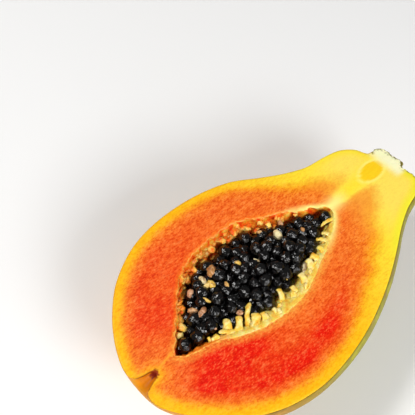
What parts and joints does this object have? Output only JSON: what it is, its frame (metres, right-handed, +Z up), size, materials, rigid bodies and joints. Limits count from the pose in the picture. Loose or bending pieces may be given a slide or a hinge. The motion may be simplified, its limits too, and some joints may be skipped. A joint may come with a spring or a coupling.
{
  "type": "papaya half",
  "caption": "Half a ripe papaya cut lengthwise: orange-red flesh, a seed cavity heaped with glossy black seeds, a short stalk stub, lying on its skin with the cut face up.",
  "frame": {"origin": "under the middle of the part's bounding box, on the surface that it lies on", "axes": "+X from the blossom end to the stalk, +Z up, out of the cut face, +Y across the cut face"},
  "size_m": [0.1616, 0.1038, 0.0518],
  "materials": {
    "papaya_flesh_and_skin": "moist orange-red flesh with a yellow rim; the skin is yellow, green along the near flank, with dark freckles",
    "papaya_seed": "wet, wrinkled black"
  },
  "bodies": {
    "root": {"papaya_half": "papaya_flesh_and_skin", "seeds": "papaya_seed"}
  },
  "joints": []
}
